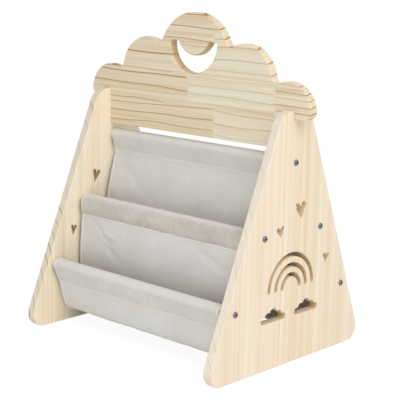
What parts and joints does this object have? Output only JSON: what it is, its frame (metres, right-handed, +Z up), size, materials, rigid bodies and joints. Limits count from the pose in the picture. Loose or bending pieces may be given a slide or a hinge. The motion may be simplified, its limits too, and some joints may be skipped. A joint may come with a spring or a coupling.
{
  "type": "sling bookshelf",
  "caption": "Two-sided children's sling bookshelf: leaning pine side panels with cut-outs, a cloud-shaped head board with a hand hole, and cotton sling pockets on bolted rods.",
  "frame": {"origin": "on the floor under the middle of the shelf", "axes": "+X along the shelf towards its right panel, +Y towards the rear pockets with the front pockets on -Y, +Z up"},
  "size_m": [0.5488, 0.4106, 0.6086],
  "materials": {
    "pine_panel": "pale edge-glued pine with soft upright grain, sanded, unlacquered",
    "pine_head_board": "finger-jointed pine with level grain and thin brown growth lines, sanded, unlacquered",
    "rod_wood": "smooth turned dowel, unlacquered",
    "sling_cotton": "warm light grey matt canvas with hemmed edges and fine pale stitching",
    "bolt_steel": "blue-grey zinc-plated button heads with hexagon sockets",
    "insert_alloy": "plain cast zinc alloy, hidden in the rod ends"
  },
  "bodies": {
    "root": {"right_side_panel": "pine_panel", "left_side_panel": "pine_panel", "cloud_head_board": "pine_head_board", "top_rod": "rod_wood", "top_insert_left": "insert_alloy", "top_insert_right": "insert_alloy", "top_bolt_left": "bolt_steel", "top_bolt_right": "bolt_steel", "front_upper_rod": "rod_wood", "front_upper_insert_left": "insert_alloy", "front_upper_insert_right": "insert_alloy", "front_upper_bolt_left": "bolt_steel", "front_upper_bolt_right": "bolt_steel", "front_lower_rod": "rod_wood", "front_lower_insert_left": "insert_alloy", "front_lower_insert_right": "insert_alloy", "front_lower_bolt_left": "bolt_steel", "front_lower_bolt_right": "bolt_steel", "rear_upper_rod": "rod_wood", "rear_upper_insert_left": "insert_alloy", "rear_upper_insert_right": "insert_alloy", "rear_upper_bolt_left": "bolt_steel", "rear_upper_bolt_right": "bolt_steel", "rear_lower_rod": "rod_wood", "rear_lower_insert_left": "insert_alloy", "rear_lower_insert_right": "insert_alloy", "rear_lower_bolt_left": "bolt_steel", "rear_lower_bolt_right": "bolt_steel", "top_sleeve": "sling_cotton", "front_upper_pocket": "sling_cotton", "front_lower_pocket": "sling_cotton", "rear_upper_pocket": "sling_cotton", "rear_lower_pocket": "sling_cotton"}
  },
  "joints": []
}
